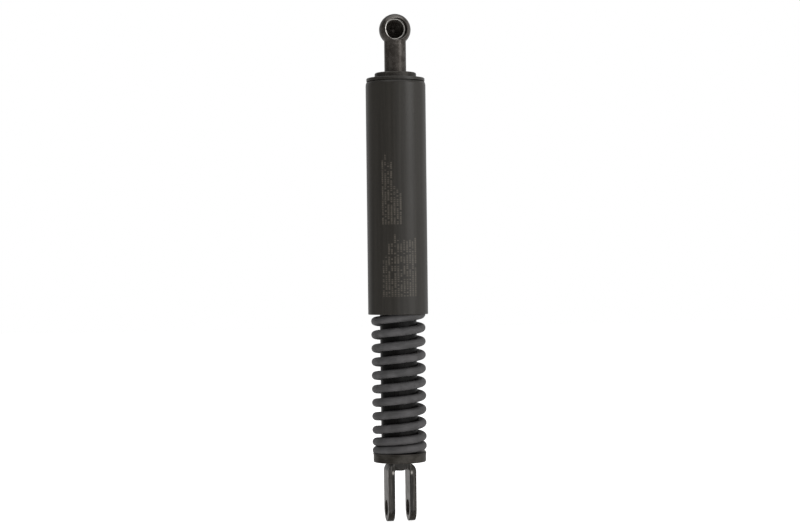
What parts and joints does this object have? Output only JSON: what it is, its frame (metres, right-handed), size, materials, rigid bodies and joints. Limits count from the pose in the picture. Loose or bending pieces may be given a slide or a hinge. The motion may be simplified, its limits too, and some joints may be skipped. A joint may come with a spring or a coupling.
{
  "type": "gas strut stay",
  "caption": "Gas spring stay with a helper coil spring, a cover tube, a ball socket at one end and a fork at the other, which pushes a lid, hatch or shutter open and holds it.",
  "frame": {"origin": "middle of the fork's pin hole, where the pin that holds the strut passes", "axes": "+Z along the strut, from the fork up to the ball socket; X along the fork's pin; -Y out of the ball socket's mouth"},
  "size_m": [0.036, 0.036, 0.3046],
  "materials": {
    "cover_paint": "satin black-brown paint",
    "tube_paint": "satin black paint",
    "spring_coating": "matte dark grey phosphate and powder coat",
    "blackened_steel": "burnished black oxide",
    "forged_steel": "turned steel under burnished black oxide",
    "bright_wire": "bright spring wire",
    "chromed_rod": "ground and chromed",
    "bare_steel": "turned steel, oiled",
    "brass": "sintered bronze",
    "rubber": "moulded nitrile",
    "plastic": "moulded nylon"
  },
  "bodies": {
    "cylinder": {"fork": "blackened_steel", "end_plug": "bare_steel", "lower_spring_seat": "blackened_steel", "lower_seat_shim": "blackened_steel", "pressure_tube": "tube_paint", "rod_guide": "brass", "rod_seal": "rubber", "seal_retainer": "bare_steel", "coil_spring": "spring_coating"},
    "spring_seat": {"upper_spring_seat": "bare_steel", "slip_washer": "plastic"},
    "rod": {"piston_rod": "chromed_rod", "piston": "bare_steel", "orifice_disc": "bare_steel", "piston_nut": "bare_steel", "rod_end_washer": "bare_steel", "outer_tube": "cover_paint", "top_cap": "cover_paint", "cap_collar": "blackened_steel", "ball_socket": "forged_steel", "socket_ring": "bright_wire"},
    "piston_ring": {"piston_ring": "plastic"}
  },
  "joints": [
    {"name": "stroke", "type": "slide", "parent": "cylinder", "child": "spring_seat", "axis": [0, 0, 1], "range_m": [-0.07, 0], "stiffness_N_per_m": 14000, "springref_m": 0.03, "deforming": ["coil_spring"]},
    {"name": "rod_turn", "type": "hinge", "parent": "spring_seat", "child": "rod", "pos_m": [0, 0, 0.2575], "axis": [0, 0, 1], "continuous": true},
    {"name": "ring_float", "type": "slide", "parent": "rod", "child": "piston_ring", "axis": [0, 0, 1], "range_m": [0, 0.0005]}
  ]
}
